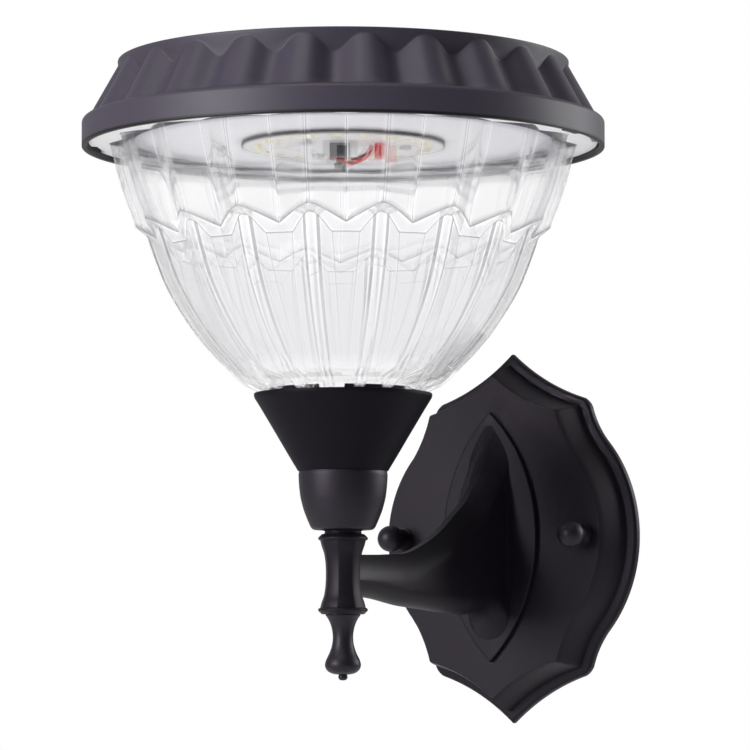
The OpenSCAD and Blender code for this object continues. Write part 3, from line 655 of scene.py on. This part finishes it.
def lensShell():
    c = lens
    low, top = c["flangeLow"], c["flangeTop"]
    fold = foldOf(False)
    flange = [bowlRow(flangeR - 0.2, top), bowlRow(flangeR, top - 0.25), bowlRow(flangeR, low + 0.25),
              bowlRow(flangeR - 0.25, low)]
    wall, wallPaintedLight = wallRows(False)
    innerZ = c["baseZ"] + c["wall"]
    neck = [[c["neckR"] + 0.4, c["baseZ"]], [c["neckR"], c["baseZ"] - 0.3], [c["neckR"], c["footZ"]],
            [c["neckIn"], c["footZ"]], [c["neckIn"], innerZ - 0.7], [c["neckIn"] + 0.8, innerZ]]
    mouth = [bowlRow(tierR(low - 0.4, fold) - c["wall"], low - 0.2),
             bowlRow(tierR(low, fold) - c["wall"], top)]
    rows = flange + wall + [bowlRow(r, z) for r, z in neck] + innerRows() + mouth
    values = np.zeros((len(rows), len(columnNo)))
    values[len(flange):len(flange) + len(wall)] = wallPaintedLight
    return ringShell(rows, True), values.ravel()


def flangeShell():
    # White ring under the flange and up its edge; its inner line follows the folds
    low, top = lens["flangeLow"], lens["flangeTop"]
    inner = tierR(low - 0.4, foldOf(False)) + 0.65
    section = [(inner, low - 0.01), (flangeR + 0.03, low - 0.01), (flangeR + 0.03, top - 0.1),
               (flangeR + 0.3, top - 0.1), (flangeR + 0.35, top - 0.25), (flangeR + 0.35, low + 0.3),
               (flangeR + 0.25, low - 0.05), (flangeR, low - 0.18), (inner, low - 0.18)]
    return ringShell([bowlRow(r, z) for r, z in section], True)


bowlShell, bowlPaintedLight = lensShell()
bowl = makePiece("lensBowl", [bowlShell], "wall_side", clearPlasticPaintedEdges, ["lens"], crease=50)
# The edge attribute carries the painted highlights and painted dark lines to the lens finish
bowl.data.attributes.new("edge", "FLOAT", "POINT").data.foreach_set("value", bowlPaintedLight)
makePiece("flangeRing", [flangeShell()], "wall_side", whitePlastic)
print("lens made")

# Cone holder, cup and drop: turned pieces

holder = {"notches": 4, "notchAngle": -63.5, "notchHalf": 10.2, "notchZ": 48.5, "collarTop": 53.4,
          "collarR": [26.2, 28.0], "boreR": 5.1, "columns": 288}


def holderShell():
    # A turned line whose collar is cut down to the notch's floor, once in each notch
    c = holder
    collarIn, collarR = c["collarR"]
    line = softLine([[c["boreR"], 22], [17.2, 22, 0.3], [17.6, 22.7, 0.4], [20.6, 27.7, 3], [26.0, 36.9, 3],
                     [31.4, 46, 3], [33.7, 49.7, 0.7], [34, 50.4, 0.5], [34, 51.6, 0.35], [32, 51.6, 0.3],
                     [32, 50.2, 0.4], [30.1, 47], [30.1, 45], [collarR, 45], [collarR, c["collarTop"], 0.3],
                     [collarIn, c["collarTop"], 0.3], [collarIn, 43], [27, 43], [24.1, 38, 2],
                     [18.4, 28.6, 2], [16.2, 25], [c["boreR"], 25]])
    angle = np.radians(np.arange(c["columns"]) * 360 / c["columns"])
    pitch = 360 / c["notches"]
    fromNotch = (np.degrees(angle) - c["notchAngle"] + pitch / 2) % pitch - pitch / 2
    notch = np.abs(fromNotch) < c["notchHalf"]
    rows = [ringAt(r, angle, np.where(notch & (z > c["notchZ"]) & (r < collarR + 0.5), c["notchZ"], z))
            for r, z in line]
    return ringShell(rows, True)


cup = {"columns": 128,
       "profile": [[holder["boreR"], -2], [7.3, -2, 0.2], [7.0, -1.5, 0.3], [6.9, -0.9, 0.3],
                   [8.2, -0.45, 0.8], [11.4, -0.35, 0.9], [12.3, 0.6, 0.5], [13.2, 2.6, 1], [14.15, 4.9, 1.2],
                   [15, 7.1, 1.2], [15.6, 9.4, 1.2], [16.2, 11.7, 2], [16.8, 16.3, 2.2], [17, 20.8, 0.8],
                   [16.7, 22], [14.6, 22], [14.6, 16.3, 2], [13.6, 9.4, 2], [11.6, 3.6, 2], [9.6, 1.8],
                   [holder["boreR"], 1.8]]}

drop = {"columns": 96,
        "profile": [[0, -57.5], [1.3, -57.3, 0.6], [1.9, -56.3, 0.7], [1.55, -55.3, 0.3], [3.4, -55.1, 0.6],
                    [5.2, -54.5, 0.8], [6.5, -53.2, 0.9], [6.95, -51.6, 0.9], [6.5, -49.8, 1],
                    [5.3, -47.5, 1.2], [4.42, -45.2, 1.2], [3.95, -43, 1.2], [3.82, -40.7, 1.2],
                    [4.1, -38.4, 1.2], [4.7, -36.1, 1.2], [5.8, -33.9, 1], [6.6, -32.9, 0.3],
                    [6.6, -32.4, 0.1], [3.4, -32.4], [3.4, -23.4], [0, -23.4]]}

makePiece("coneHolder", [holderShell()], "wall_side", shadedMattePaint, ["cone_holder"])
for name, piece, stands in (("cupBody", cup, "cup"), ("finialDrop", drop, "finial")):
    shell = turned(softLine(piece["profile"]), piece["columns"])
    makePiece(name, [shell], "wall_side", blackPaint, [stands])
print("turned pieces made")

# Arm casting: flared arm, pointed oval foot and faceted column. Its tables run off the wall, as [y, value]

arm = {"top": [[17.2, 50.6], [20.9, 40.4], [26.2, 31.2], [32.8, 19.1], [45.8, 7.6], [58.6, -0.8], [68, -4.9],
               [77.4, -7.9], [89.7, -8.9], [107, -9.5], [140, -9.6]],
       "bottom": [[17.2, -41.9], [18.8, -41.7], [22, -36], [26, -32.6], [41.2, -31.5], [51.6, -30.9],
                  [68.6, -29.6], [81.4, -28.7], [101.9, -26], [140, -26]],
       "half": [[17.2, 9.5], [45, 7.2], [80, 6.3], [140, 6.1]],
       "arch": [[17.2, 17], [32.8, 14], [60, 11.5], [107, 9.8], [140, 9.8]],
       "strip": 1.4, "rootY": [17.6, 19.3, 19.7], "rootWiden": 0.35, "outY": [20.4, 116.0], "stations": 72,
       "footY": [17.2, 19.35], "footHalf": 22.3, "footArcR": 67.1, "footBevel": 1.0,
       "columnZ": -17.2, "waist": [[6.25, 1.8, 1.6], [6.45, 5.2, 1.6], [6.97, 8.4, 1.4], [7.85, 10.7, 1.2],
                                   [8.5, 13.7, 0], [0, 13.7, 0]], "facets": 8, "chamfer": 0.045,
       "collar": [[0, 12.7], [8.1, 12.7, 0.2], [9.1, 12.85, 0.4], [9.6, 13.5, 0.5], [9.15, 14.2, 0.4],
                  [8.65, 14.6, 0.3], [8.1, 15.2, 0.2], [0, 15.2]]}


def armShell():
    # Sections across the arm: a flat strip on top, an arch down to the sides, then a round keel
    c = arm
    rows = []
    t = np.linspace(0, 1, 12)
    keel = np.radians(np.linspace(0, 90, 11))[:-1]
    for y in np.concatenate([c["rootY"], np.linspace(*c["outY"], c["stations"])]):
        w = straightAt(y, c["half"]) + c["rootWiden"] * (y <= c["rootY"][-1])
        top, low = smoothAt(y, c["top"]), smoothAt(y, c["bottom"])
        arch = straightAt(y, c["arch"])
        archX = c["strip"] + (w - c["strip"]) * (1 - (1 - t) ** 1.7)
        halfX = np.concatenate([[c["strip"] * 0.5], archX, w * np.cos(keel)])
        halfZ = np.concatenate([[top], top - arch * t, low + w - w * np.sin(keel)])
        x = np.concatenate([halfX, [0], -halfX[::-1]])
        z = np.concatenate([halfZ, [low], halfZ[::-1]])
        rows.append(offWall(np.stack([x, z], -1), y))
    return ringShell(rows, False, [0, -c["rootY"][0], 0], [0, -c["outY"][1], -18])


def footShell():
    # Pointed oval from two arcs, with a soft front edge
    c = arm
    shift = c["footArcR"] - c["footHalf"]
    span = np.arccos(shift / c["footArcR"])
    share = np.linspace(-span, span, 61) / span
    back, front = c["footY"]
    rows = []
    for inset, y in softLine([[0, back], [0, front - 0.05, 0.35], [c["footBevel"], front]], 3):
        r = c["footArcR"] - inset
        b = share * np.arccos(shift / r)
        right = np.stack([r * np.cos(b) - shift, r * np.sin(b)], -1)
        rows.append(offWall(np.concatenate([right, -right[1:-1]]), y))
    return ringShell(rows, False, [0, -back, 0], [0, -front, 0])


def columnShell():
    # Faceted waist: the distance to its flats against height, spread to the slightly chamfered corners
    c = arm
    line = softLine([[r, -z, soft] for r, z, soft in c["waist"][::-1]] + c["waist"], 3)
    facetHalf = np.pi / c["facets"]
    corner = facetHalf * (1 + 2 * np.arange(c["facets"]))
    turn = (corner[:, None] + [-c["chamfer"], c["chamfer"]]).ravel()
    toCorner = 1 / np.cos(facetHalf - c["chamfer"])
    line[:, 1] += c["columnZ"]
    rows = [ringAt(r * toCorner, turn, z) for r, z in line[1:-1]]
    return ringShell(rows, False, [0, lampY, line[0, 1]], [0, lampY, line[-1, 1]])


def collarShell(side):
    # The ring above the waist, or the one below it with side -1
    return turned(softLine(arm["collar"]) * [1, side] + [0, arm["columnZ"]])


armParts = [armShell(), footShell(), columnShell(), collarShell(1), collarShell(-1)]
makePiece("armCasting", armParts, "wall_side", platePaint, ["arm"], crease=35)
print("arm made")

# Back plate: one outline stepped in from the rim to the field. Its line is [inset, distance off the wall]

plate = {"sideR": 57.2, "sideMove": 2.0, "sideSpan": 42, "shoulder": (36.32, 54.2), "tip": 74.4,
         "sideIn": 0.86, "shoulderIn": (0.62, 0.47), "soft": 2.6, "leastSoft": 0.12, "softTo": 8,
         "shortHollow": 0.8, "longHollow": 2.1, "fieldY": 17.2, "fieldBack": 15.0}


def plateOutline(d):
    # Outline set in by d: side arc, short hollow, soft shoulder and long hollow to the tip, then mirrored
    c = plate
    turn = np.radians(np.linspace(0, c["sideSpan"], 22))
    sideR = c["sideR"] - c["sideIn"] * d
    side = np.stack([c["sideMove"] + sideR * np.cos(turn), sideR * np.sin(turn)], -1)
    shoulder = np.array(c["shoulder"]) - np.array(c["shoulderIn"]) * d
    tip = np.array([0, c["tip"] - d])
    soft = c["soft"] * max(c["leastSoft"], 1 - d / c["softTo"])

    def hollow(p, q, depth, count):
        # A shallow bay between two points: 4 depth t (1 - t) off the straight way
        t = np.linspace(0, 1, count + 2)[1:-1, None]
        along = (q - p) / np.hypot(*(q - p))
        return p + (q - p) * t + 4 * depth * t * (1 - t) * np.array([-along[1], along[0]])

    low, high = towards(shoulder, side[-1], soft), towards(shoulder, tip, soft)
    quarter = np.concatenate([side, hollow(side[-1], low, c["shortHollow"], 7),
                              parabola(low, shoulder, high, 6),
                              hollow(high, tip, c["longHollow"], 16), [tip]])
    return np.concatenate([quarter, (quarter * [-1, 1])[-2::-1], (quarter * [-1, -1])[1:],
                           (quarter * [1, -1])[-2:0:-1]])


def plateShell():
    c = plate
    line = softLine([[9.9, c["fieldY"]], [9.55, c["fieldY"], 0.2], [8.5, 15.3, 1.2], [6.7, 10.6, 2],
                     [5.3, 6, 2], [4.5, 3.55, 0.5], [0.95, 3.45, 0.8], [0, 2.4, 0.5], [0, 0.2, 0.1], [0.2, 0],
                     [2.2, 0], [2.6, 1.3], [6.8, 1.4], [7.4, 5.6], [9, 10], [11.2, c["fieldBack"]]], 4)
    rows = [offWall(plateOutline(d), y) for d, y in line]
    return ringShell(rows, False, [0, -c["fieldY"], 0], [0, -c["fieldBack"], 0])


makePiece("backPlate", [plateShell()], "wall_side", platePaint, ["back_plate"], crease=24)

# Ball nuts on their washers

nuts = {"spacing": 86.8, "ballR": 5.3, "ballY": 26.3, "wrap": 133, "neckR": 3.7, "seatY": 18.2,
        "boreR": 2.1, "boreEnd": 26.2}


def nutShell(x):
    # The ball's arc runs from its tip to the neck, and the line goes on over the seat into the bore
    c = nuts
    turn = np.radians(np.linspace(0, c["wrap"], 34))
    ball = np.stack([c["ballR"] * np.sin(turn), c["ballY"] + c["ballR"] * np.cos(turn)], -1)
    neck = softLine([[3.6, 21.8], [c["neckR"], 21.2, 0.4], [c["neckR"], 19.8, 0.4], [4.1, 19, 0.5],
                     [4.1, 18.3, 0.2], [3.9, c["seatY"]], [c["boreR"], c["seatY"]],
                     [c["boreR"], c["boreEnd"]], [0, c["boreEnd"]]])
    return turned(np.concatenate([ball, neck]), 72, (x, 0.0), "y")


nutParts = [nutShell(side * nuts["spacing"] / 2) for side in (-1, 1)]
makePiece("ballNuts", nutParts, "wall_side", blackPaint, ["ball_nuts"])
print("plate and nuts made")

# CAD nodes that keep their shape

dressed = ((zincSteel, ("crossbar", "crossbar_studs", "arm_screws", "stem_tube", "tube_nut", "tube_washer",
                        "cover_screws", "board_screws")),
           (blackPaint, ("stud_washers",)),
           (blackRubber, ("lens_gasket", "panel_gasket")),
           (paleRubber, ("head_seal",)),
           (coverPaintedShade, ("under_cover",)),
           (boardEdgeAndShade, ("led_board",)),
           (ledYellow, ("leds",)),
           (solarCells, ("solar_panel",)),
           (coverGlass, ("panel_cover",)),
           (cellWrap, ("battery",)),
           (blackPlastic, ("battery_holder", "switch_body", "switch_button")),
           (greenBoard, ("control_board",)),
           (redCable, ("red_wire", "wire_plug")),
           (blackCable, ("black_wire",)))
for finish, names in dressed:
    for name in names:
        dressNode(name, finish)
print("nodes dressed")

# Camera, as the photograph was taken

view = {"azimuth": 35.81, "pitch": 4.5, "place": (0.89895, -1.3432, -0.0609), "focal": 191.85, "sensor": 36}
azimuth, pitch = np.radians(view["azimuth"]), np.radians(view["pitch"])
right = np.array([np.cos(azimuth), np.sin(azimuth), 0])
back = np.array([-np.sin(azimuth), np.cos(azimuth), 0])


def aim(thing, way):
    # Turned so that it looks along a direction, and put into the scene
    thing.rotation_euler = Vector(way).to_track_quat("-Z", "Y").to_euler()
    bpy.context.scene.collection.objects.link(thing)


cameraData = bpy.data.cameras.new("camera")
cameraData.lens = view["focal"]
cameraData.sensor_width = view["sensor"]
cameraData.clip_end = 100
camera = bpy.data.objects.new("camera", cameraData)
camera.location = view["place"]
aim(camera, back * np.cos(pitch) + [0, 0, np.sin(pitch)])
bpy.context.scene.camera = camera

# Floor, lamps and world. A lamp's place is given to the right of, behind and above the middle, as the camera
# sees it

studio = {"floorZ": -0.30, "floorR": 1.8, "floorFade": 0.5, "floorSides": 64, "middle": (0.0, -0.1, 0.07),
          "room": 0.165, "backdrop": 0.5, "backdropSpan": (-0.3, 0.5),
          "lamps": [("leftBox", (-1.3, -0.95, 0.3), 0.8, 32.0), ("rightBox", (1.3, 0.5, 0.35), 0.7, 12.0),
                    ("topBox", (-0.3, -0.6, 1.4), 1.1, 13.0)]}


def floorFinish():
    # Pale and dull, fading out towards the disc's edge so that it meets the white background
    c = studio
    finish = newFinish("paleFloor", (0.92, 0.92, 0.92), 0.9, grain=300, tone=0.01)
    tree = finish.node_tree
    radius = vectorNode(tree, "LENGTH", objectPlace(tree))["Value"]
    fade = rangeNode(tree, radius, (c["floorFade"], c["floorR"]), (1, 0), "SMOOTHSTEP")
    feed(tree, shaderOf(finish), {"Alpha": fade})
    return finish


def makeFloor():
    c = studio
    turn = np.linspace(0, 2 * np.pi, c["floorSides"], endpoint=False)
    disc = ringAt(c["floorR"], turn, c["floorZ"], (0.0, 0.0))
    mesh = bpy.data.meshes.new("floor")
    mesh.from_pydata(disc.tolist(), [], [list(range(c["floorSides"]))])
    mesh.materials.append(floorFinish())
    floor = bpy.data.objects.new("floor", mesh)
    bpy.context.scene.collection.objects.link(floor)


def makeLamp(name, offset, size, power):
    data = bpy.data.lights.new(name, "AREA")
    data.shape, data.size, data.energy = "SQUARE", size, power
    lamp = bpy.data.objects.new(name, data)
    way = right * offset[0] + back * offset[1] + [0, 0, offset[2]]
    lamp.location = np.array(studio["middle"]) + way
    aim(lamp, -way)


def makeWorld():
    # The camera sees white, also through the bowl; the backdrop lights the light from behind, the room is dim
    c = studio
    world = bpy.data.worlds.new("studio")
    world.use_nodes = True
    tree = world.node_tree
    rays = tree.nodes.new("ShaderNodeLightPath").outputs
    seen = mathNode(tree, "MAXIMUM", rays["Is Camera Ray"], rays["Is Transmission Ray"])
    place = tree.nodes.new("ShaderNodeTexCoord").outputs["Generated"]
    depth = vectorNode(tree, "DOT_PRODUCT", place, tuple(back))["Value"]
    sky = rangeNode(tree, depth, c["backdropSpan"], (c["room"], c["backdrop"]), "SMOOTHSTEP")
    level = rangeNode(tree, seen, (0, 1), (sky, 1.0))
    feed(tree, tree.nodes["Background"], {"Color": (1, 1, 1, 1), "Strength": level})
    bpy.context.scene.world = world


makeFloor()
for lampSettings in studio["lamps"]:
    makeLamp(*lampSettings)
makeWorld()
bpy.context.scene.view_settings.view_transform = "Standard"
print("camera, lamps and floor made")
